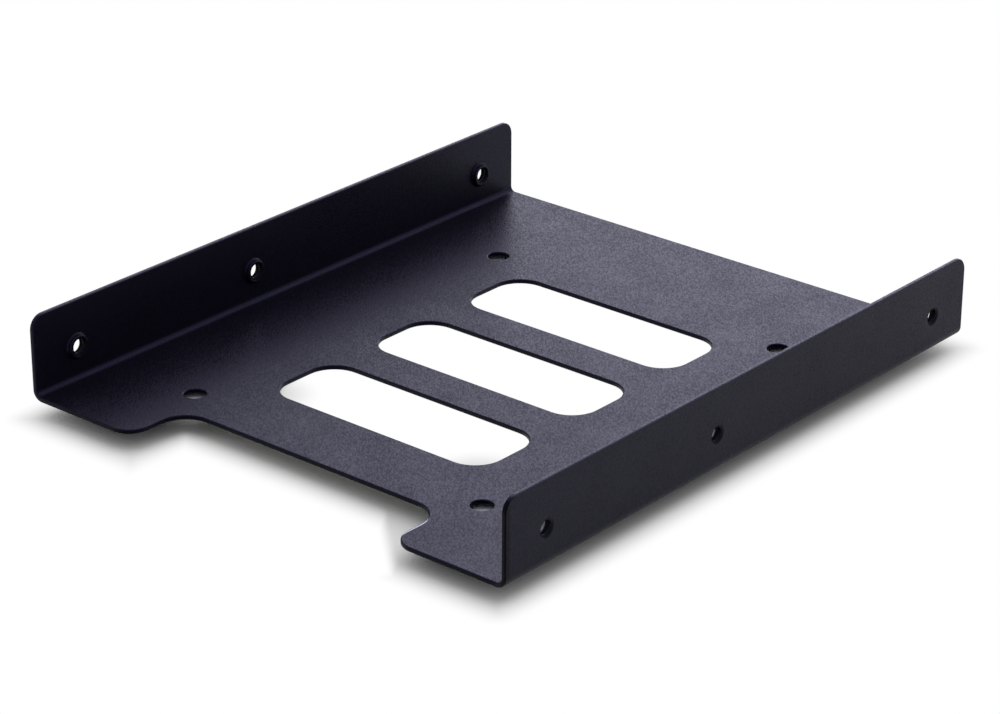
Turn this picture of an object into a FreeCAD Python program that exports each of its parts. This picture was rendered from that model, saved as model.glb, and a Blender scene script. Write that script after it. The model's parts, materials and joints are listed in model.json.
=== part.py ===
import FreeCAD, Part
import math
import os

# Drive bay adapter bracket: one steel sheet folded into a shallow tray. A small drive is
# screwed down on the base, and the flange along each side is screwed into a larger bay.
# Sizes are in millimetres. X runs across the tray, Y from the notched front edge to the
# back edge, and Z up. The origin is at the middle of the underside.

# Folded sheet
sheet_thickness = 0.8
overall_width = 100.8
overall_length = 120.2
overall_height = 14.8
bend_inner_radius = 1.0
flange_corner_radius = 2.5
edge_break = 0.14

# Notch in the front edge, which leaves room for the plugs of the drive
notch_width = 55.6
notch_depth = 12.0
notch_inner_radius = 5.0
notch_mouth_radius = 3.9

# Slots across the base, for air and for less weight
slot_count = 3
slot_length = 45.6
slot_width = 15.5
slot_pitch = 24.0
slot_corner_radius = 5.0
first_slot_from_front = 26.25

# Plain screw holes in the base, on the hole pattern of a small drive
base_hole_diameter = 3.7
base_hole_spacing_across = 61.72
base_hole_spacing_along = 76.6
base_holes_from_front = 17.6

# Tapped holes in each flange, on the hole pattern of a larger drive. The sheet is drawn
# inward round each hole into a collar, so that the screw thread has metal to hold.
side_hole_diameter = 3.1
side_hole_height = 6.7
side_holes_from_front = 9.3
side_hole_front_spacing = 41.61
side_hole_back_spacing = 59.99
side_hole_entry_radius = 0.2
collar_wall = 0.5
collar_rise = 0.75
collar_root_flare = 0.25
collar_lip_break = 0.15

# How far a cutting shape runs past the surface that it cuts
cut_overrun = 1.0

# An outline has no edge shorter than this
smallest_edge = 0.0001

ACROSS = FreeCAD.Vector(1, 0, 0)
ALONG = FreeCAD.Vector(0, 1, 0)
UP = FreeCAD.Vector(0, 0, 1)

half_width = overall_width / 2
front_edge = -overall_length / 2
back_edge = overall_length / 2
bend_outer_radius = bend_inner_radius + sheet_thickness


def rounded_face(corners, first_axis, second_axis):
    """Flat face inside an outline of (first, second, radius) corners.

    A radius is held to what half of the shorter side next to it can take.
    """
    points = [first_axis * first + second_axis * second for first, second, radius in corners]
    bends = []
    for i, point in enumerate(points):
        to_last = points[i - 1] - point
        to_next = points[(i + 1) % len(points)] - point
        half_angle = to_last.getAngle(to_next) / 2
        room = min(to_last.Length, to_next.Length) / 2
        setback = min(corners[i][2] / math.tan(half_angle), room)
        to_last.normalize()
        to_next.normalize()
        inward = (to_last + to_next).normalize()
        rise = setback / math.cos(half_angle) - setback * math.tan(half_angle)
        bends.append((point + to_last * setback, point + inward * rise, point + to_next * setback))
    pieces = []
    for i, (start, middle, end) in enumerate(bends):
        following = bends[(i + 1) % len(bends)][0]
        if start.distanceToPoint(end) > smallest_edge:
            pieces.append(Part.Arc(start, middle, end).toShape())
        if end.distanceToPoint(following) > smallest_edge:
            pieces.append(Part.makeLine(end, following))
    return Part.Face(Part.Wire(pieces))


def centred_prism(face, direction, length):
    """The face pushed out by half of the length to each side of its own plane."""
    moved = face.translated(direction * (-length / 2))
    return moved.extrude(direction * length)


def folded_section():
    """The end view: base, two bends and two flanges."""
    inner = half_width - sheet_thickness
    return rounded_face(
        [
            (-half_width, overall_height, 0),
            (-half_width, 0, bend_outer_radius),
            (half_width, 0, bend_outer_radius),
            (half_width, overall_height, 0),
            (inner, overall_height, 0),
            (inner, sheet_thickness, bend_inner_radius),
            (-inner, sheet_thickness, bend_inner_radius),
            (-inner, overall_height, 0),
        ],
        ACROSS,
        UP,
    )


def side_outline():
    """The side view: a flange with its two upper corners rounded."""
    return rounded_face(
        [
            (front_edge, 0, 0),
            (back_edge, 0, 0),
            (back_edge, overall_height, flange_corner_radius),
            (front_edge, overall_height, flange_corner_radius),
        ],
        ALONG,
        UP,
    )


def plan_outline():
    """The view from above: the whole width, with the notch in the front edge."""
    side = notch_width / 2
    floor = front_edge + notch_depth
    return rounded_face(
        [
            (-half_width, front_edge, 0),
            (-side, front_edge, notch_mouth_radius),
            (-side, floor, notch_inner_radius),
            (side, floor, notch_inner_radius),
            (side, front_edge, notch_mouth_radius),
            (half_width, front_edge, 0),
            (half_width, back_edge, 0),
            (-half_width, back_edge, 0),
        ],
        ACROSS,
        ALONG,
    )


def slot_cutters():
    """One rounded slot, repeated towards the back."""
    near = front_edge + first_slot_from_front
    far = near + slot_width
    side = slot_length / 2
    outline = rounded_face(
        [
            (-side, near, slot_corner_radius),
            (side, near, slot_corner_radius),
            (side, far, slot_corner_radius),
            (-side, far, slot_corner_radius),
        ],
        ACROSS,
        ALONG,
    )
    cutter = centred_prism(outline, UP, 2 * (sheet_thickness + cut_overrun))
    return [cutter.translated(ALONG * (slot_pitch * i)) for i in range(slot_count)]


def base_hole_cutters():
    """Four round holes at the corners of the small drive's pattern."""
    front_row = front_edge + base_holes_from_front
    cutters = []
    for x in (-base_hole_spacing_across / 2, base_hole_spacing_across / 2):
        for y in (front_row, front_row + base_hole_spacing_along):
            foot = FreeCAD.Vector(x, y, -cut_overrun)
            height = sheet_thickness + 2 * cut_overrun
            cutters.append(Part.makeCylinder(base_hole_diameter / 2, height, foot))
    return cutters


def sharp_edges(solid):
    """Edges where two faces meet at a corner, without the smooth joins of the bends."""
    found = []
    for edge in solid.Edges:
        middle = edge.valueAt((edge.FirstParameter + edge.LastParameter) / 2)
        normals = []
        for face in solid.ancestorsOfType(edge, Part.Face):
            u, v = face.Surface.parameter(middle)
            normals.append(face.normalAt(u, v))
        if len(normals) == 2 and normals[0].getAngle(normals[1]) > math.pi / 4:
            found.append(edge)
    return found


def turned(profile, y, z, outward):
    """The profile turned about a side hole, with its first axis pointing into the tray."""
    origin = FreeCAD.Vector(outward * half_width, y, z)
    face = rounded_face(profile, ACROSS * -outward, UP)
    return face.translated(origin).revolve(origin, ACROSS, 360)


def collar(y, z, outward):
    """Metal drawn inward round a side hole, wider at its root and bevelled at its lip."""
    radius = side_hole_diameter / 2 + collar_wall
    root_radius = radius + collar_root_flare
    seat = sheet_thickness / 2
    top = sheet_thickness + collar_rise
    return turned(
        [
            (seat, 0, 0),
            (seat, root_radius, 0),
            (sheet_thickness, root_radius, 0),
            (sheet_thickness + collar_root_flare, radius, 0),
            (top - collar_lip_break, radius, 0),
            (top, radius - collar_lip_break, 0),
            (top, 0, 0),
        ],
        y,
        z,
        outward,
    )


def side_bore(y, z, outward):
    """Cutter for a side hole, which opens out where the sheet is drawn in."""
    radius = side_hole_diameter / 2
    mouth_radius = radius + 2 * side_hole_entry_radius
    far = sheet_thickness + collar_rise + cut_overrun
    return turned(
        [
            (-cut_overrun, 0, 0),
            (far, 0, 0),
            (far, radius, 0),
            (0, radius, side_hole_entry_radius),
            (0, mouth_radius, 0),
            (-cut_overrun, mouth_radius, 0),
        ],
        y,
        z,
        outward,
    )


def side_hole_places():
    """Height and distance along the tray of each side hole, on both flanges."""
    first = front_edge + side_holes_from_front
    middle = first + side_hole_front_spacing
    last = middle + side_hole_back_spacing
    return [(y, side_hole_height, outward) for outward in (-1, 1) for y in (first, middle, last)]


def bracket():
    """The finished sheet."""
    blank = centred_prism(folded_section(), ALONG, overall_length)
    blank = blank.common(centred_prism(side_outline(), ACROSS, overall_width))
    blank = blank.common(centred_prism(plan_outline(), UP, 2 * overall_height))
    pierced = blank.cut(slot_cutters() + base_hole_cutters()).Solids[0]
    broken = pierced.makeChamfer(edge_break, sharp_edges(pierced))
    places = side_hole_places()
    drawn = broken.fuse([collar(*place) for place in places])
    return drawn.cut([side_bore(*place) for place in places]).Solids[0].removeSplitter()


os.makedirs("parts", exist_ok=True)
bracket().exportStep("parts/bracket.step")
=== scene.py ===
"""Finish and studio for a drive bay adapter bracket.

The folded sheet comes from the frame and keeps its mesh. This script gives it a fine black
powder coat, with painted shade on its cut edges and a painted highlight along the top of each
flange, lays a low pale ridge along the notch's right edge as a painted highlight, cuts a screw
thread into each of its six flange holes, and sets it on a pale floor under soft light, with the
camera at the photograph's view. Lengths are in metres.
"""

import json
import math

import bmesh
import bpy
from bpy.props import FloatProperty, FloatVectorProperty, IntProperty, PointerProperty
from bpy.types import Operator, Panel, PropertyGroup
from mathutils import Matrix, Vector


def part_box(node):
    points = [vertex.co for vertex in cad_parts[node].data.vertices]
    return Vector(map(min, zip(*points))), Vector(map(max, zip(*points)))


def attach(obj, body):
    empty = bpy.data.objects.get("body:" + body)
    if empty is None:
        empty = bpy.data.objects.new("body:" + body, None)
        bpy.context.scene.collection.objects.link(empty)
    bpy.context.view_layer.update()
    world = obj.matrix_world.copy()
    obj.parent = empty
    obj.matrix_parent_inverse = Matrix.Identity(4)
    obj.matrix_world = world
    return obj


bl_info = {
    "name": "Drive Bay Bracket Finish",
    "version": (1, 0, 0),
    "blender": (4, 5, 0),
    "location": "3D View > Sidebar > Bracket",
    # The worn rim named here is a painted highlight along the notch's right edge
    "description": "Coat, worn rim, screw threads and studio for a folded drive bay bracket",
    "category": "Object",
}

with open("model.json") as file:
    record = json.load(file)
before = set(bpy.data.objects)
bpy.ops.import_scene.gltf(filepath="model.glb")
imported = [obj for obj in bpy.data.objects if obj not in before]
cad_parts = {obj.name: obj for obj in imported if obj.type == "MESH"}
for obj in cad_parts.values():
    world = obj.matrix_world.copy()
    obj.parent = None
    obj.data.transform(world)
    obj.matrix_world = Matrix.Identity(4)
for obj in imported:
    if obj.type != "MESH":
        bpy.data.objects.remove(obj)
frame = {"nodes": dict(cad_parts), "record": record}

SHEET = "bracket"
BODY = "root"

MM_PER_METRE = 1000
WHITE = (1, 1, 1, 1)

# The sheet, and the notch in its front edge
SHEET_THICKNESS = 0.0008
EDGE_BREAK = 0.00014
NOTCH_HALF_WIDTH = 0.0278
NOTCH_DEPTH = 0.012
NOTCH_INNER_RADIUS = 0.005
NOTCH_MOUTH_RADIUS = 0.0039

# A front corner of the first slot: how far it is across from the middle, and along
SLOT_CORNER = (0.0228, -0.0339)

# Two flange holes nearer to each other than this are one, which two hole patterns share
SAME_HOLE = 0.001

# Points of a hole's wall lie within this many bore radii of its axis
WALL_REACH = 1.2

# How far the foot of the thread's ridge is sunk into the wall
RIDGE_SINK = 0.00005

# Most of a noise's values lie between these two
NOISE_LOW = 0.3
NOISE_HIGH = 0.7

# Coat: noise values of its darkest and lightest shade, and their shares of its colour
SHADE_LOW = 0.35
SHADE_HIGH = 0.65
DARK_SHARE = 0.8
LIGHT_SHARE = 1.2

# Coat: detail of its clouds and how much they change the roughness, and the samples of its
# rolled edge
CLOUD_DETAIL = 3.0
CLOUD_GLOSS = 0.03
BEVEL_SAMPLES = 6

# Painted shade on the cut edges of the base: how far the normal of such a face can rise, and how
# many sheet thicknesses are left out at each side, where the bend is
UPRIGHT_RISE = 0.6
BEND_REACH = 2.5

# Painted shade round the front end of the right flange: where it ends, in sheet thicknesses; and
# the painted highlight along the top of each flange: how far down it reaches, in edge breaks
FLANGE_END_REACH = 1.5
TOP_HIGHLIGHT_REACH = 1.2

# Inside of a tapped hole: its tool lines' width over a pebble's, their detail, and what they
# add to the roughness at least and at most
TOOL_LINE_WIDTH = 0.25
TOOL_LINE_DETAIL = 1.0
TOOL_LINE_GLOSS = (-0.05, 0.1)

# Look of the rim's painted highlight: width of its grain, share of its colour in the darkest grain,
# and roughness
RIM_GRAIN = 0.0004
RIM_DARK_SHARE = 0.85
RIM_ROUGHNESS = 0.5

# Shape of the highlight rim: steps round each corner, share of its length left off at each end,
# and the place of its crest across its width
RIM_STEPS = 12
RIM_END_SHARE = 0.02
RIM_CREST_PLACE = 1 / 3

# Stage: outlines from above (low and high X, low and high Y), depths below the sheet and
# greys of the floor and of what lies between it and the sheet
FLOOR_OUTLINE = (-4, 4, -4, 4)
PLINTH_OUTLINE = (-0.026, 0.026, -0.037, 0.034)
SHELF_OUTLINE = (-0.037, 0.032, -0.043, 0.04)
PLINTH_DROP = 0.00006
CARD_DROP = 0.00003
PLINTH_GREY = (0.13, 0.13, 0.14)
SHELF_GREY = (0.75, 0.75, 0.73)

# Camera: sensor width in millimetres, and nearest and furthest distance seen
SENSOR_WIDTH = 36
CLIP_START = 0.01
CLIP_END = 50

# A patch of sky is full up to the first of these shares of its radius, and ends at the second
PATCH_FULL = 0.5
PATCH_EDGE = 1.5

# Soft patches of sky: azimuth, elevation, radius (in degrees) and strength
SKY_PATCHES = (
    (112, 14, 24, 1.7),
    (60, 16, 24, 0.5),
    (232, 24, 24, 0.15),
    (90, 40, 24, 0.25),
)

# The white backdrop behind the part, as the gloss sees it: azimuth, elevation and radius
BACKDROP = (112, 14, 24)


def holes_per_flange():
    """The middles of the tapped holes on each flange, from the frame's hole patterns.

    Two patterns of two holes share the front hole, so each flange has three.
    """
    holes = {}
    for mount in frame["record"]["mounts"]:
        if "bay_holes" not in mount["name"]:
            continue
        x, y, z = mount["pos_m"]
        reach = mount["dims"]["spacing_x_mm"] / (2 * MM_PER_METRE)
        side = "left" if x < 0 else "right"
        for end in (y - reach, y + reach):
            known = holes.setdefault(side, [])
            if all(abs(end - seen.y) > SAME_HOLE for seen in known):
                known.append(Vector((x, end, z)))
    return {side: sorted(found, key=lambda hole: hole.y) for side, found in holes.items()}


def bore_radius():
    """The radius of the plain bore that the thread stands in."""
    mounts = frame["record"]["mounts"]
    radius = next(m["dims"]["hole_r_mm"] for m in mounts if "bay_holes" in m["name"])
    return radius / MM_PER_METRE


class CoatProperties(PropertyGroup):
    """Look of the powder coat."""

    colour: FloatVectorProperty(
        name="Colour",
        description="Body colour of the coat",
        subtype="COLOR",
        size=3,
        min=0.0,
        max=1.0,
        default=(0.0026, 0.0022, 0.0038),
    )
    gloss_tint: FloatVectorProperty(
        name="Gloss tint",
        description="Colour of what the coat reflects when it is seen straight on",
        subtype="COLOR",
        size=3,
        min=0.0,
        max=1.0,
        default=(0.52, 0.49, 1.0),
    )
    gloss_index: FloatProperty(
        name="Gloss index",
        description="Index of refraction, which sets how much the coat reflects",
        min=1.0,
        max=2.0,
        default=1.33,
    )
    thread_index: FloatProperty(
        name="Thread index",
        description="Index of refraction inside the tapped holes, where the coat is thin and dull",
        min=1.0,
        max=2.0,
        default=1.22,
    )
    roughness: FloatProperty(
        name="Roughness",
        description="Mean roughness of the satin surface",
        subtype="FACTOR",
        min=0.0,
        max=1.0,
        default=0.44,
    )
    # Painted shade: the cut edges keep this share of the coat's colour and gloss tint, so they read
    # dark
    edge_shade_share: FloatProperty(
        name="Edge share",
        description="Share of the colour and gloss that the thin coat on the cut edges has",
        subtype="FACTOR",
        min=0.0,
        max=1.0,
        default=0.3,
    )
    pebble_size: FloatProperty(
        name="Pebble size",
        description="Width of one bump of the texture",
        subtype="DISTANCE",
        unit="LENGTH",
        precision=6,
        default=0.0003,
    )
    pebble_depth: FloatProperty(
        name="Pebble depth",
        description="Height of the bumps of the texture",
        subtype="DISTANCE",
        unit="LENGTH",
        precision=6,
        default=0.00002,
    )
    pebble_gloss: FloatProperty(
        name="Pebble gloss",
        description="How much rougher or smoother than the skin a pebble is at most",
        default=0.1,
    )
    pebble_stretch: FloatProperty(
        name="Pebble stretch",
        description="Length of a bump over its width",
        min=1.0,
        default=2.3,
    )
    pebble_turn: FloatProperty(
        name="Pebble turn",
        description="Direction of the length of the bumps on the base, from +X towards +Y",
        subtype="ANGLE",
        unit="ROTATION",
        default=math.radians(130),
    )
    # Painted highlight: a lighter colour along the top of each flange stands in for light caught
    # there
    top_highlight_colour: FloatVectorProperty(
        name="Top colour",
        description="Colour of the thin coat along the top of each flange",
        subtype="COLOR",
        size=3,
        min=0.0,
        max=1.0,
        default=(0.028, 0.027, 0.03),
    )
    cloud_size: FloatProperty(
        name="Cloud size",
        description="Width of one soft cloud of uneven gloss",
        subtype="DISTANCE",
        unit="LENGTH",
        precision=5,
        default=0.009,
    )
    edge_softness: FloatProperty(
        name="Edge softness",
        description="How far in from an edge the coat rolls over it",
        subtype="DISTANCE",
        unit="LENGTH",
        precision=6,
        default=0.00025,
    )


class RimProperties(PropertyGroup):
    """The low pale ridge along the notch's right edge, whose colour is a painted highlight."""

    # Painted highlight: the rim's pale colour stands in for light caught by the edge
    rim_highlight_colour: FloatVectorProperty(
        name="Rim colour",
        description="Colour of the bare rim",
        subtype="COLOR",
        size=3,
        min=0.0,
        max=1.0,
        default=(0.85, 0.84, 0.9),
    )
    rim_width: FloatProperty(
        name="Rim width",
        description="Width of the rim at its middle",
        subtype="DISTANCE",
        unit="LENGTH",
        precision=6,
        default=0.0005,
    )
    rim_height: FloatProperty(
        name="Rim height",
        description="How far the rim stands above the sheet",
        subtype="DISTANCE",
        unit="LENGTH",
        precision=6,
        default=0.00003,
    )
    mouth_angle: FloatProperty(
        name="Mouth angle",
        description="How far the rim turns round the notch's outer corner",
        subtype="ANGLE",
        unit="ROTATION",
        default=math.radians(24),
    )
    inner_angle: FloatProperty(
        name="Inner angle",
        description="How far the rim turns round the notch's inner corner",
        subtype="ANGLE",
        unit="ROTATION",
        default=math.radians(22),
    )


class ThreadProperties(PropertyGroup):
    """Sizes of the screw thread in the flange holes."""

    pitch: FloatProperty(
        name="Pitch",
        description="Distance from one turn to the next, 32 turns to the inch",
        subtype="DISTANCE",
        unit="LENGTH",
        precision=6,
        default=0.00079375,
    )
    crest_diameter: FloatProperty(
        name="Crest diameter",
        description="Clear width between the crests of the thread",
        subtype="DISTANCE",
        unit="LENGTH",
        precision=6,
        default=0.00255,
    )
    crest_width: FloatProperty(
        name="Crest width",
        description="Width of the flat along the top of the ridge",
        subtype="DISTANCE",
        unit="LENGTH",
        precision=6,
        default=0.0002,
    )
    root_width: FloatProperty(
        name="Root width",
        description="Width of the ridge where it meets the bore",
        subtype="DISTANCE",
        unit="LENGTH",
        precision=6,
        default=0.00062,
    )
    end_margin: FloatProperty(
        name="End margin",
        description="Plain bore left beyond the ridge at each end of the hole",
        subtype="DISTANCE",
        unit="LENGTH",
        precision=6,
        default=0.00006,
    )
    steps_per_turn: IntProperty(
        name="Steps per turn",
        description="Rings of points along one turn of the ridge",
        min=12,
        default=60,
    )


class StudioProperties(PropertyGroup):
    """Camera, floor and light."""

    azimuth: FloatProperty(
        name="Azimuth",
        description="Camera direction, from looking along the flanges towards the back",
        subtype="ANGLE",
        unit="ROTATION",
        default=math.radians(40.2136),
    )
    elevation: FloatProperty(
        name="Elevation",
        description="Camera height above the horizon",
        subtype="ANGLE",
        unit="ROTATION",
        default=math.radians(24.4344),
    )
    roll: FloatProperty(
        name="Roll",
        description="Lean of the camera about its own line of sight",
        subtype="ANGLE",
        unit="ROTATION",
        default=math.radians(0.1775),
    )
    camera_place: FloatVectorProperty(
        name="Camera place",
        description="Where the camera stands",
        subtype="TRANSLATION",
        unit="LENGTH",
        size=3,
        precision=5,
        default=(0.328511, -0.39038, 0.233641),
    )
    focal_length: FloatProperty(
        name="Focal length",
        description="Lens focal length in millimetres, on a sensor 36 mm wide",
        default=121.114,
    )
    lift: FloatProperty(
        name="Lift",
        description="Height of the plinth that hides under the sheet",
        subtype="DISTANCE",
        unit="LENGTH",
        precision=5,
        default=0.003,
    )
    floor_colour: FloatVectorProperty(
        name="Floor colour",
        description="Colour of the pale floor",
        subtype="COLOR",
        size=3,
        min=0.0,
        max=1.0,
        default=(0.93, 0.953, 0.762),
    )
    floor_in_gloss: FloatProperty(
        name="Floor in gloss",
        description="Share of the floor's plain white that shows in the part's gloss",
        subtype="FACTOR",
        min=0.0,
        max=1.0,
        default=0.2,
    )
    light_colour: FloatVectorProperty(
        name="Light colour",
        description="Colour of the light from all sides",
        subtype="COLOR",
        size=3,
        min=0.0,
        max=1.0,
        default=(0.82, 0.8, 1.0),
    )
    dome_foot: FloatProperty(
        name="Dome foot",
        description="Strength of the light from the horizon",
        default=0.2,
    )
    dome_top: FloatProperty(
        name="Dome top",
        description="Strength of the light from straight above",
        default=1.2,
    )
    fade_start: FloatProperty(
        name="Fade start",
        description="Distance from the part's outline at which the floor starts to turn white",
        subtype="DISTANCE",
        unit="LENGTH",
        precision=5,
        default=-0.0024,
    )
    fade_end: FloatProperty(
        name="Fade end",
        description="Distance from the part's outline at which the floor is plain white",
        subtype="DISTANCE",
        unit="LENGTH",
        precision=5,
        default=0.0047,
    )
    fade_margins: FloatVectorProperty(
        name="Fade margins",
        description="How far the fading starts outside the outline, at left, right, front and back",
        unit="LENGTH",
        size=4,
        precision=5,
        default=(-0.0003, -0.0006, 0.0012, 0.0017),
    )
    notch_fade: FloatVectorProperty(
        name="Notch fade",
        description="Left and right ends of the part of the notch where the floor turns white",
        unit="LENGTH",
        size=2,
        precision=5,
        default=(-0.0265, 0.0335),
    )
    tab_fade_turn: FloatProperty(
        name="Tab fade turn",
        description="Direction across the line beside the right tab where the notch turns white",
        subtype="ANGLE",
        unit="ROTATION",
        default=math.radians(47.8),
    )
    tab_fade_place: FloatProperty(
        name="Tab fade place",
        description="Distance of that line from the middle of the floor, along its direction",
        subtype="DISTANCE",
        unit="LENGTH",
        precision=5,
        default=-0.0252,
    )
    tab_fade_rate: FloatProperty(
        name="Tab fade rate",
        description="How much faster the floor turns white across that line than elsewhere",
        default=3.0,
    )
    card_colour: FloatVectorProperty(
        name="Card colour",
        description="Colour of the card under the slots where it isn't plain white",
        subtype="COLOR",
        size=3,
        min=0.0,
        max=1.0,
        default=(0.62, 0.635, 0.505),
    )
    slot_shade_reach: FloatVectorProperty(
        name="Slot shade reach",
        description="Distances from a front corner of the first slot where its shade fades",
        unit="LENGTH",
        size=2,
        precision=5,
        default=(0.0015, 0.0095),
    )
    slot_shade_white: FloatProperty(
        name="Slot shade white",
        description="Share of plain white at the front corners of the first slot",
        subtype="FACTOR",
        min=0.0,
        max=1.0,
        default=0.4,
    )
    shelf_drop: FloatProperty(
        name="Shelf drop",
        description="Depth below the sheet of the shelf that shows through the base holes",
        subtype="DISTANCE",
        unit="LENGTH",
        precision=5,
        default=0.0009,
    )


def add_node(tree, kind, values=None, **settings):
    """A new shader node with its settings and its unlinked inputs set."""
    node = tree.nodes.new(kind)
    for name, value in settings.items():
        setattr(node, name, value)
    for name, value in (values or {}).items():
        node.inputs[name].default_value = value
    return node


def new_material(name):
    """A material with an empty node tree, and its output node."""
    material = bpy.data.materials.new(name)
    material.use_nodes = True
    material.node_tree.nodes.clear()
    return material, add_node(material.node_tree, "ShaderNodeOutputMaterial")


def add_noise(tree, place, size, detail=2.0):
    """Noise whose bumps are about this size, over coordinates from this socket."""
    noise = add_node(tree, "ShaderNodeTexNoise", {"Scale": 1 / size, "Detail": detail})
    tree.links.new(place, noise.inputs["Vector"])
    return noise.outputs["Fac"]


def add_maths(tree, operation, first, second):
    """A maths node. Each input is a socket or a number."""
    node = add_node(tree, "ShaderNodeMath", operation=operation)
    for socket, value in zip(node.inputs, (first, second)):
        if isinstance(value, bpy.types.NodeSocket):
            tree.links.new(value, socket)
        else:
            socket.default_value = value
    return node.outputs["Value"]


def add_limit(tree, value, low, high):
    """One where the value is between these limits, and zero elsewhere."""
    above = add_maths(tree, "GREATER_THAN", value, low)
    return add_maths(tree, "MULTIPLY", above, add_maths(tree, "LESS_THAN", value, high))


def add_range(tree, value, low, high, new_low, new_high, smooth=False):
    """The value carried from one range to another, and held at its ends."""
    kind = "SMOOTHSTEP" if smooth else "LINEAR"
    values = {"From Min": low, "From Max": high, "To Min": new_low, "To Max": new_high}
    node = add_node(tree, "ShaderNodeMapRange", values, interpolation_type=kind)
    tree.links.new(value, node.inputs["Value"])
    return node.outputs["Result"]


def add_noise_range(tree, noise, low, high):
    """The noise spread from this low value to this high one."""
    return add_range(tree, noise, NOISE_LOW, NOISE_HIGH, low, high)


def add_blend(tree, factor, first, second):
    """A blend of two colours, each a socket or a colour of three channels."""
    node = add_node(tree, "ShaderNodeMix", data_type="RGBA", blend_type="MIX")
    tree.links.new(factor, node.inputs["Factor"])
    for name, colour in (("A", first), ("B", second)):
        if isinstance(colour, bpy.types.NodeSocket):
            tree.links.new(colour, node.inputs[name])
        else:
            node.inputs[name].default_value = (*colour, 1)
    return node.outputs["Result"]


def add_vector_maths(tree, operation, place, vector):
    """A vector maths node between the coordinates of a socket and a fixed vector."""
    node = add_node(tree, "ShaderNodeVectorMath", operation=operation)
    tree.links.new(place, node.inputs[0])
    node.inputs[1].default_value = vector
    return node


def add_parts(tree, vector):
    """The X, Y and Z of a vector, as sockets by name."""
    node = add_node(tree, "ShaderNodeSeparateXYZ")
    tree.links.new(vector, node.inputs["Vector"])
    return node.outputs


def add_bump(tree, height, depth):
    """A bump whose highest parts stand this far above its lowest."""
    node = add_node(tree, "ShaderNodeBump", {"Strength": 1.0, "Distance": depth})
    tree.links.new(height, node.inputs["Height"])
    return node


def show_shader(tree, output, values, links):
    """Makes a principled shader the surface, with these values and these linked inputs."""
    shader = add_node(tree, "ShaderNodeBsdfPrincipled", values)
    for name, socket in links.items():
        tree.links.new(socket, shader.inputs[name])
    tree.links.new(shader.outputs["BSDF"], output.inputs["Surface"])


def show_mix(tree, output, share, first, second):
    """Makes a mix of two shaders the surface. The share is the second one's."""
    mix = add_node(tree, "ShaderNodeMixShader")
    tree.links.new(share, mix.inputs["Fac"])
    tree.links.new(first, mix.inputs[1])
    tree.links.new(second, mix.inputs[2])
    tree.links.new(mix.outputs["Shader"], output.inputs["Surface"])


def painted_shade_edge_mask(tree, facing, point):
    """One on the cut edges of the base and round the front end of the right flange, where painted
    shade dims the coat.
    """
    low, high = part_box(SHEET)
    thick = SHEET_THICKNESS
    bend = BEND_REACH * thick
    upright = add_limit(tree, facing["Z"], -UPRIGHT_RISE, UPRIGHT_RISE)
    in_base = add_limit(tree, point["Z"], -thick, thick)
    between = add_limit(tree, point["X"], low.x + bend, high.x - bend)
    base_edge = add_maths(tree, "MULTIPLY", upright, in_base)
    base_edge = add_maths(tree, "MULTIPLY", base_edge, between)
    end = low.y + FLANGE_END_REACH * thick
    at_end = add_range(tree, point["Y"], low.y + thick, end, 1.0, 0.0)
    on_flange = add_maths(tree, "GREATER_THAN", point["X"], high.x - thick)
    flange_end = add_maths(tree, "MULTIPLY", at_end, on_flange)
    return add_maths(tree, "MAXIMUM", base_edge, flange_end)


def scaled(colour, share):
    """The colour with each channel times this share."""
    return [channel * share for channel in colour]


def powder_coat(look):
    """Black powder coat: a pebbled satin skin with soft clouds in its gloss, a painted highlight
    along the flange tops and painted shade on the cut edges.
    """
    material, output = new_material("powder_coat")
    tree = material.node_tree
    coordinates = add_node(tree, "ShaderNodeTexCoord").outputs
    along = add_node(tree, "ShaderNodeMapping", vector_type="TEXTURE")
    along.inputs["Rotation"].default_value = (0, 0, look.pebble_turn)
    along.inputs["Scale"].default_value = (look.pebble_stretch, 1, 1)
    tree.links.new(coordinates["Object"], along.inputs["Vector"])
    pebbles = add_noise(tree, along.outputs["Vector"], look.pebble_size)
    clouds = add_noise(tree, coordinates["Object"], look.cloud_size, CLOUD_DETAIL)
    radius = {"Radius": look.edge_softness}
    rolled_edge = add_node(tree, "ShaderNodeBevel", radius, samples=BEVEL_SAMPLES)
    bump = add_bump(tree, pebbles, look.pebble_depth)
    tree.links.new(rolled_edge.outputs["Normal"], bump.inputs["Normal"])
    dark = scaled(look.colour, DARK_SHARE)
    light = scaled(look.colour, LIGHT_SHARE)
    shade = add_range(tree, pebbles, SHADE_LOW, SHADE_HIGH, 0.0, 1.0)
    colour = add_blend(tree, shade, dark, light)
    point = add_parts(tree, coordinates["Object"])
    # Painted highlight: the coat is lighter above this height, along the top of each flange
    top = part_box(SHEET)[1].z - TOP_HIGHLIGHT_REACH * EDGE_BREAK
    highlight_on_top = add_maths(tree, "GREATER_THAN", point["Z"], top)
    colour = add_blend(tree, highlight_on_top, colour, look.top_highlight_colour)
    # Painted shade: the cut edges get a darker colour and a weaker gloss tint
    shaded_edges = painted_shade_edge_mask(tree, add_parts(tree, coordinates["Normal"]), point)
    colour = add_blend(tree, shaded_edges, colour, scaled(look.colour, look.edge_shade_share))
    shaded_tint = scaled(look.gloss_tint, look.edge_shade_share)
    tint = add_blend(tree, shaded_edges, look.gloss_tint, shaded_tint)
    smoothest = look.roughness - CLOUD_GLOSS
    roughest = look.roughness + CLOUD_GLOSS
    soft = add_noise_range(tree, clouds, smoothest, roughest)
    fine = add_noise_range(tree, pebbles, -look.pebble_gloss, look.pebble_gloss)
    links = {
        "Specular Tint": tint,
        "Base Color": colour,
        "Roughness": add_maths(tree, "ADD", soft, fine),
        "Normal": bump.outputs["Normal"],
    }
    show_shader(tree, output, {"IOR": look.gloss_index}, links)
    return material


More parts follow.
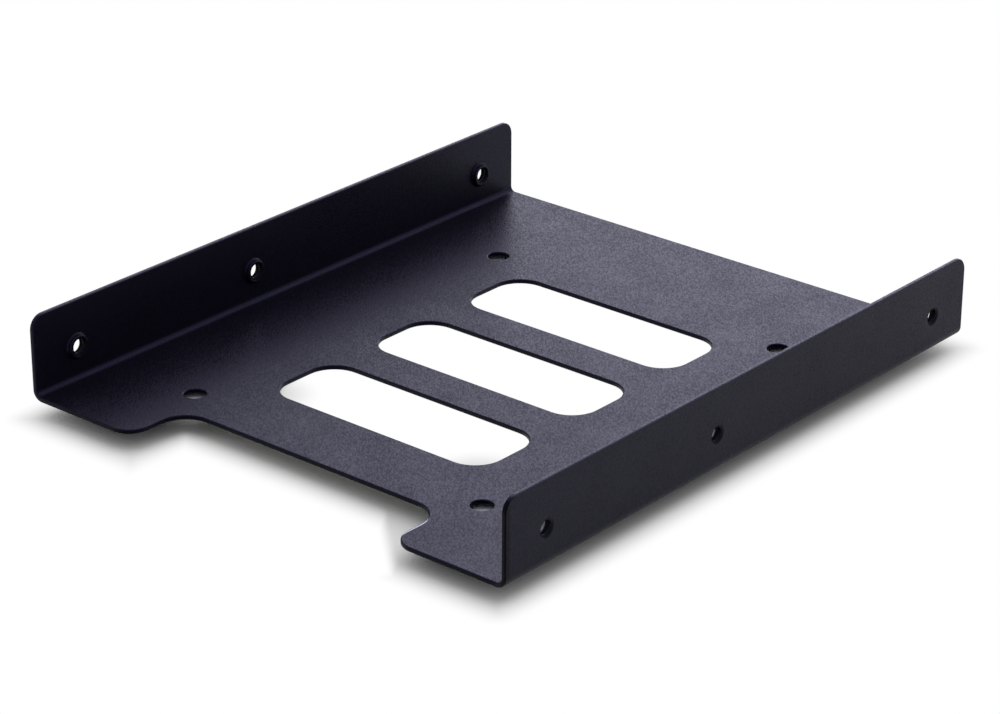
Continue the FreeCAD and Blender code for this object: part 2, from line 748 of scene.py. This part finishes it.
def tapped_steel(look):
    """The coat where the tap has cut through it: dark steel with fine tool lines."""
    material, output = new_material("tapped_steel")
    tree = material.node_tree
    place = add_node(tree, "ShaderNodeTexCoord").outputs["Object"]
    width = TOOL_LINE_WIDTH * look.pebble_size
    lines = add_noise(tree, place, width, TOOL_LINE_DETAIL)
    smoothest, roughest = (look.roughness + change for change in TOOL_LINE_GLOSS)
    roughness = add_noise_range(tree, lines, smoothest, roughest)
    bump = add_bump(tree, lines, look.pebble_depth)
    values = {"Base Color": (*look.colour, 1), "IOR": look.thread_index}
    links = {"Roughness": roughness, "Normal": bump.outputs["Normal"]}
    show_shader(tree, output, values, links)
    return material


def bare_rim(colour):
    """A pale metal colour with a fine grain: a painted highlight for the ridge along the notch's
    edge.
    """
    material, output = new_material("bare_rim")
    tree = material.node_tree
    place = add_node(tree, "ShaderNodeTexCoord").outputs["Object"]
    grain = add_noise_range(tree, add_noise(tree, place, RIM_GRAIN), 0.0, 1.0)
    shade = add_blend(tree, grain, scaled(colour, RIM_DARK_SHARE), colour)
    show_shader(tree, output, {"Roughness": RIM_ROUGHNESS}, {"Base Color": shade})
    return material


def link_mesh(name, mesh, material):
    """A new object in the scene that shows the mesh in this material."""
    mesh.materials.append(material)
    piece = bpy.data.objects.new(name, mesh)
    bpy.context.scene.collection.objects.link(piece)
    return piece


def skin_rings(mesh, rings):
    """Faces from each ring of points to the next, and one across each end."""
    for ring, following in zip(rings, rings[1:]):
        for i in range(len(ring)):
            j = (i + 1) % len(ring)
            mesh.faces.new((ring[i], ring[j], following[j], following[i]))
    mesh.faces.new(reversed(rings[0]))
    mesh.faces.new(rings[-1])


def mesh_data(name, mesh):
    """The finished mesh as data for an object."""
    data = bpy.data.meshes.new(name)
    mesh.to_mesh(data)
    mesh.free()
    return data


def hole_depth_range(hole):
    """Distances from the tray's middle to the collar's lip and to the hole's outer face."""
    near = WALL_REACH * bore_radius()
    across = [
        abs(vertex.co.x)
        for vertex in frame["nodes"][SHEET].data.vertices
        if math.hypot(vertex.co.y - hole.y, vertex.co.z - hole.z) < near
        and vertex.co.x * hole.x > 0
    ]
    return min(across), max(across)


def ridge_profile(sizes):
    """Points round the ridge's section, as (along the hole, out from its axis)."""
    bore = bore_radius()
    sunk = bore + RIDGE_SINK
    crest = sizes.crest_diameter / 2
    root_half = sizes.root_width / 2
    crest_half = sizes.crest_width / 2
    return [
        (-root_half, sunk),
        (-root_half, bore),
        (-crest_half, crest),
        (crest_half, crest),
        (root_half, bore),
        (root_half, sunk),
    ]


def trim_end(mesh, point, outward):
    """Cuts a closed mesh off at a plane and closes the cut."""
    everything = mesh.verts[:] + mesh.edges[:] + mesh.faces[:]
    cut = bmesh.ops.bisect_plane(
        mesh, geom=everything, plane_co=point, plane_no=outward, clear_outer=True
    )["geom_cut"]
    rim = [item for item in cut if isinstance(item, bmesh.types.BMEdge)]
    bmesh.ops.edgeloop_fill(mesh, edges=rim)


def thread_mesh(name, hole, sizes):
    """One right-hand thread: a ridge that winds round the bore and is cut flush at its ends."""
    outward = math.copysign(1, hole.x)
    inward = Vector((-outward, 0, 0))
    side = Vector((0, -outward, outward)).normalized()
    up = inward.cross(side)
    lip, face = hole_depth_range(hole)
    entry = Vector((math.copysign(face - sizes.end_margin, hole.x), hole.y, hole.z))
    travel = face - lip - 2 * sizes.end_margin
    start = -sizes.pitch
    turn = (travel + 2 * sizes.pitch) / sizes.pitch * math.tau
    steps = round(turn / math.tau * sizes.steps_per_turn)
    profile = ridge_profile(sizes)
    mesh = bmesh.new()
    rings = []
    for step in range(steps + 1):
        angle = turn * step / steps
        out = side * math.cos(angle) + up * math.sin(angle)
        middle = entry + inward * (start + sizes.pitch * angle / math.tau)
        points = [middle + inward * along + out * far for along, far in profile]
        rings.append([mesh.verts.new(point) for point in points])
    skin_rings(mesh, rings)
    trim_end(mesh, entry, -inward)
    trim_end(mesh, entry + inward * travel, inward)
    bmesh.ops.recalc_face_normals(mesh, faces=mesh.faces)
    return mesh_data(name, mesh)


def arc_points(centre, radius, first, last):
    """Points along a level arc between two angles, each with the way out from its centre."""
    points = []
    for step in range(RIM_STEPS + 1):
        angle = first + (last - first) * step / RIM_STEPS
        out = Vector((math.cos(angle), math.sin(angle), 0))
        points.append((centre + out * radius, out))
    return points


def notch_edge_path(sizes):
    """Points along the notch's right edge, each with the way into the sheet from there."""
    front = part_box(SHEET)[0].y
    mouth = Vector((NOTCH_HALF_WIDTH + NOTCH_MOUTH_RADIUS, front + NOTCH_MOUTH_RADIUS, 0))
    inner_y = front + NOTCH_DEPTH - NOTCH_INNER_RADIUS
    inner = Vector((NOTCH_HALF_WIDTH - NOTCH_INNER_RADIUS, inner_y, 0))
    mouth_arc = arc_points(mouth, NOTCH_MOUTH_RADIUS, math.pi + sizes.mouth_angle, math.pi)
    inner_arc = arc_points(inner, NOTCH_INNER_RADIUS, 0, sizes.inner_angle)
    return [(point, -out) for point, out in mouth_arc] + inner_arc


def rim_mesh(name, path, sizes):
    """A low ridge along the path, which narrows to nothing towards its ends."""
    mesh = bmesh.new()
    lengths = [0.0]
    for (point, _), (following, _) in zip(path, path[1:]):
        lengths.append(lengths[-1] + (following - point).length)
    up = Vector((0, 0, 1))
    rings = []
    for (point, into_sheet), length in zip(path, lengths):
        gone = RIM_END_SHARE + (1 - 2 * RIM_END_SHARE) * length / lengths[-1]
        share = math.sqrt(math.sin(math.pi * gone))
        width = sizes.rim_width * share
        near = point + into_sheet * EDGE_BREAK + up * SHEET_THICKNESS
        corners = [
            near - up * sizes.rim_height,
            near + into_sheet * width * RIM_CREST_PLACE + up * sizes.rim_height * share,
            near + into_sheet * width - up * sizes.rim_height,
        ]
        rings.append([mesh.verts.new(corner) for corner in corners])
    skin_rings(mesh, rings)
    bmesh.ops.recalc_face_normals(mesh, faces=mesh.faces)
    return mesh_data(name, mesh)


class BRACKET_OT_coat_sheet(Operator):
    """Gives the folded sheet its powder coat"""

    bl_idname = "bracket.coat_sheet"
    bl_label = "Coat the sheet"

    def execute(self, context):
        sheet = frame["nodes"][SHEET]
        coat = powder_coat(context.scene.bracket_coat)
        for slot in sheet.material_slots:
            slot.material = coat
        return {"FINISHED"}


class BRACKET_OT_highlight_rim(Operator):
    """Lays a low pale ridge along the notch's right edge as a painted highlight"""

    bl_idname = "bracket.bare_rim"
    # The rim it lays is a painted highlight
    bl_label = "Bare the rim"

    def execute(self, context):
        sizes = context.scene.bracket_rim
        mesh = rim_mesh("notch_highlight_rim", notch_edge_path(sizes), sizes)
        rim = link_mesh("notch_highlight_rim", mesh, bare_rim(sizes.rim_highlight_colour))
        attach(rim, BODY)
        return {"FINISHED"}


class BRACKET_OT_cut_threads(Operator):
    """Winds a screw thread round the inside of each flange hole"""

    bl_idname = "bracket.cut_threads"
    bl_label = "Cut the threads"

    def execute(self, context):
        steel = tapped_steel(context.scene.bracket_coat)
        sizes = context.scene.bracket_thread
        for side, holes in holes_per_flange().items():
            for place, hole in zip(("front", "middle", "back"), holes):
                name = f"thread_{side}_{place}"
                thread = link_mesh(name, thread_mesh(name, hole, sizes), steel)
                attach(thread, BODY)
        return {"FINISHED"}


def background_rays(tree, gloss_share=1.0):
    """How much of the plain white background each kind of ray sees.

    It is all of it for the camera, this share for a reflection or for glass, and none for the
    light that falls on the part.
    """
    rays = add_node(tree, "ShaderNodeLightPath").outputs
    bent = add_maths(tree, "MAXIMUM", rays["Is Glossy Ray"], rays["Is Transmission Ray"])
    shared = add_maths(tree, "MULTIPLY", bent, gloss_share)
    return add_maths(tree, "MAXIMUM", rays["Is Camera Ray"], shared)


def box_distance(tree, place, centre, half):
    """Distance from a rectangle on the floor, which is negative inside it."""
    offset = add_vector_maths(tree, "SUBTRACT", place, (*centre, 0))
    parts = add_parts(tree, offset.outputs["Vector"])
    beyond = []
    for axis, reach in zip("XY", half):
        size = add_maths(tree, "ABSOLUTE", parts[axis], 0.0)
        beyond.append(add_maths(tree, "SUBTRACT", size, reach))
    outside = [add_maths(tree, "MAXIMUM", value, 0.0) for value in beyond]
    squares = [add_maths(tree, "MULTIPLY", value, value) for value in outside]
    distance = add_maths(tree, "POWER", add_maths(tree, "ADD", *squares), 0.5)
    depth = add_maths(tree, "MINIMUM", add_maths(tree, "MAXIMUM", *beyond), 0.0)
    return add_maths(tree, "ADD", distance, depth)


def show_white(tree, output, white, colour):
    """Makes the surface plain white where this share is one, and matte where it is zero."""
    diffuse = add_node(tree, "ShaderNodeBsdfDiffuse", {"Color": (*colour, 1)})
    glow = add_node(tree, "ShaderNodeEmission", {"Color": WHITE, "Strength": 1.0})
    show_mix(tree, output, white, diffuse.outputs["BSDF"], glow.outputs["Emission"])


def pale_floor(studio):
    """A pale floor that takes the part's shadow and turns plain white a little way off."""
    material, output = new_material("pale_floor")
    tree = material.node_tree
    place = add_node(tree, "ShaderNodeTexCoord").outputs["Object"]
    low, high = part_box(SHEET)
    left, right, front, back = studio.fade_margins
    centre = ((right - left) / 2, (back - front) / 2)
    half = (high.x + (left + right) / 2, high.y + (front + back) / 2)
    outline = box_distance(tree, place, centre, half)
    notch_left, notch_right = studio.notch_fade
    notch_size = ((notch_right - notch_left) / 2, NOTCH_DEPTH)
    notch_middle = ((notch_left + notch_right) / 2, low.y - front)
    notch = box_distance(tree, place, notch_middle, notch_size)
    turn = studio.tab_fade_turn
    direction = (math.cos(turn), math.sin(turn), 0)
    across = add_vector_maths(tree, "DOT_PRODUCT", place, direction)
    beyond = add_maths(tree, "SUBTRACT", studio.tab_fade_place, across.outputs["Value"])
    beyond = add_maths(tree, "MULTIPLY", beyond, studio.tab_fade_rate)
    inside = add_maths(tree, "MINIMUM", add_maths(tree, "MULTIPLY", notch, -1.0), beyond)
    distance = add_maths(tree, "MAXIMUM", outline, inside)
    away = add_range(tree, distance, studio.fade_start, studio.fade_end, 0.0, 1.0, smooth=True)
    white = add_maths(tree, "MULTIPLY", away, background_rays(tree, studio.floor_in_gloss))
    show_white(tree, output, white, studio.floor_colour)
    return material


def plain_matte(name, colour):
    """A matte material of one colour for the stage."""
    material, output = new_material(name)
    tree = material.node_tree
    diffuse = add_node(tree, "ShaderNodeBsdfDiffuse", {"Color": (*colour, 1)})
    tree.links.new(diffuse.outputs["BSDF"], output.inputs["Surface"])
    return material


def glowing_card(name, studio):
    """A card that shows as plain white, with a soft shade in the first slot's front corners."""
    material, output = new_material(name)
    tree = material.node_tree
    place = add_node(tree, "ShaderNodeTexCoord").outputs["Object"]
    gaps = []
    for side in (-1, 1):
        corner = (side * SLOT_CORNER[0], SLOT_CORNER[1], 0)
        gaps.append(add_vector_maths(tree, "DISTANCE", place, corner).outputs["Value"])
    nearest = add_maths(tree, "MINIMUM", *gaps)
    start, end = studio.slot_shade_reach
    away = add_range(tree, nearest, start, end, studio.slot_shade_white, 1.0, smooth=True)
    white = add_maths(tree, "MULTIPLY", away, background_rays(tree))
    show_white(tree, output, white, studio.card_colour)
    return material


def slab_mesh(name, corners, bottom, top):
    """A slab with this outline, or a flat sheet where its bottom and top are the same."""
    mesh = bmesh.new()
    outline = [mesh.verts.new((x, y, bottom)) for x, y in corners]
    base = mesh.faces.new(outline)
    if top > bottom:
        raised = bmesh.ops.extrude_face_region(mesh, geom=[base])["geom"]
        moved = [item for item in raised if isinstance(item, bmesh.types.BMVert)]
        bmesh.ops.translate(mesh, verts=moved, vec=(0, 0, top - bottom))
        bmesh.ops.recalc_face_normals(mesh, faces=mesh.faces)
    return mesh_data(name, mesh)


def rectangle(x_low, x_high, y_low, y_high):
    """The four corners of a rectangle, anticlockwise."""
    return [(x_low, y_low), (x_high, y_low), (x_high, y_high), (x_low, y_high)]


def link_slab(name, outline, bottom, top, material):
    """A rectangular slab in the scene."""
    return link_mesh(name, slab_mesh(name, rectangle(*outline), bottom, top), material)


def place_floor(studio):
    """The floor, and the plinth, shelf and card between the floor and the sheet."""
    bottom = -studio.lift
    dark = plain_matte("plinth_grey", PLINTH_GREY)
    light = plain_matte("shelf_grey", SHELF_GREY)
    white = glowing_card("slot_card", studio)
    floor = link_slab("floor", FLOOR_OUTLINE, bottom, bottom, pale_floor(studio))
    plinth = link_slab("plinth", PLINTH_OUTLINE, bottom, -PLINTH_DROP, dark)
    shelf = link_slab("shelf", SHELF_OUTLINE, bottom, -studio.shelf_drop, light)
    card = link_slab("slot_card", PLINTH_OUTLINE, -CARD_DROP, -CARD_DROP, white)


def sky_direction(azimuth, elevation):
    """The unit vector towards a place in the sky. Azimuth runs from +X towards +Y."""
    level = math.cos(elevation)
    return Vector((math.cos(azimuth) * level, math.sin(azimuth) * level, math.sin(elevation)))


def add_sky_patch(tree, place, azimuth, elevation, radius, strength):
    """Strength of a round patch of sky, which softens towards its edge."""
    centre = sky_direction(math.radians(azimuth), math.radians(elevation))
    toward = add_vector_maths(tree, "DOT_PRODUCT", place, centre)
    edge = math.cos(PATCH_EDGE * math.radians(radius))
    full = math.cos(PATCH_FULL * math.radians(radius))
    return add_range(tree, toward.outputs["Value"], edge, full, 0.0, strength, smooth=True)


def light_room(studio):
    """A soft room: a dome that is dim at its foot, and soft patches of brighter light."""
    world = bpy.data.worlds.new("soft_room")
    bpy.context.scene.world = world
    world.use_nodes = True
    tree = world.node_tree
    tree.nodes.clear()
    output = add_node(tree, "ShaderNodeOutputWorld")
    place = add_node(tree, "ShaderNodeTexCoord").outputs["Generated"]
    height = add_parts(tree, place)["Z"]
    strength = add_range(tree, height, 0.0, 1.0, studio.dome_foot, studio.dome_top)
    for patch in SKY_PATCHES:
        strength = add_maths(tree, "ADD", strength, add_sky_patch(tree, place, *patch))
    light = add_node(tree, "ShaderNodeBackground", {"Color": (*studio.light_colour, 1)})
    tree.links.new(strength, light.inputs["Strength"])
    white = add_node(tree, "ShaderNodeBackground", {"Color": WHITE})
    behind = add_sky_patch(tree, place, *BACKDROP, 1.0)
    seen = add_maths(tree, "MULTIPLY", behind, background_rays(tree))
    tree.links.new(seen, white.inputs["Strength"])
    both = add_node(tree, "ShaderNodeAddShader")
    tree.links.new(light.outputs["Background"], both.inputs[0])
    tree.links.new(white.outputs["Background"], both.inputs[1])
    plain = add_node(tree, "ShaderNodeBackground", {"Color": WHITE, "Strength": 1.0})
    camera = add_node(tree, "ShaderNodeLightPath").outputs["Is Camera Ray"]
    show_mix(tree, output, camera, both.outputs["Shader"], plain.outputs["Background"])


def place_camera(studio):
    """The camera at the photograph's view."""
    data = bpy.data.cameras.new("photo_camera")
    data.sensor_width = SENSOR_WIDTH
    data.lens = studio.focal_length
    data.clip_start = CLIP_START
    data.clip_end = CLIP_END
    camera = bpy.data.objects.new("photo_camera", data)
    bpy.context.scene.collection.objects.link(camera)
    turn = Matrix.Rotation(studio.azimuth, 4, "Z")
    tilt = Matrix.Rotation(math.pi / 2 - studio.elevation, 4, "X")
    lean = Matrix.Rotation(studio.roll, 4, "Z")
    camera.matrix_world = Matrix.Translation(studio.camera_place) @ turn @ tilt @ lean
    bpy.context.scene.camera = camera


class BRACKET_OT_set_stage(Operator):
    """Sets the floor, the light and the camera"""

    bl_idname = "bracket.set_stage"
    bl_label = "Set the stage"

    def execute(self, context):
        studio = context.scene.bracket_studio
        place_floor(studio)
        light_room(studio)
        place_camera(studio)
        context.scene.view_settings.view_transform = "Standard"
        return {"FINISHED"}


class BRACKET_PT_sidebar(Panel):
    """Lists the steps and their settings"""

    bl_idname = "BRACKET_PT_sidebar"
    bl_label = "Drive bay bracket"
    bl_space_type = "VIEW_3D"
    bl_region_type = "UI"
    bl_category = "Bracket"

    def draw(self, context):
        for step, group in STEPS:
            settings = getattr(context.scene, group)
            box = self.layout.box()
            box.operator(step.bl_idname)
            for name in settings.bl_rna.properties.keys():
                if name not in ("rna_type", "name"):
                    box.prop(settings, name)


STEPS = (
    (BRACKET_OT_coat_sheet, "bracket_coat"),
    (BRACKET_OT_highlight_rim, "bracket_rim"),
    (BRACKET_OT_cut_threads, "bracket_thread"),
    (BRACKET_OT_set_stage, "bracket_studio"),
)
GROUPS = {
    "bracket_coat": CoatProperties,
    "bracket_rim": RimProperties,
    "bracket_thread": ThreadProperties,
    "bracket_studio": StudioProperties,
}


def register():
    """Adds the settings, the steps and the panel."""
    for name, group in GROUPS.items():
        bpy.utils.register_class(group)
        setattr(bpy.types.Scene, name, PointerProperty(type=group))
    for step, _ in STEPS:
        bpy.utils.register_class(step)
    bpy.utils.register_class(BRACKET_PT_sidebar)


def unregister():
    """Takes the panel, the steps and the settings away again."""
    bpy.utils.unregister_class(BRACKET_PT_sidebar)
    for step, _ in reversed(STEPS):
        bpy.utils.unregister_class(step)
    for name, group in GROUPS.items():
        delattr(bpy.types.Scene, name)
        bpy.utils.unregister_class(group)


def main():
    """Runs each step once."""
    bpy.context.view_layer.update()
    register()
    bpy.ops.bracket.coat_sheet()
    bpy.ops.bracket.bare_rim()
    bpy.ops.bracket.cut_threads()
    bpy.ops.bracket.set_stage()


if __name__ == "__main__":
    main()
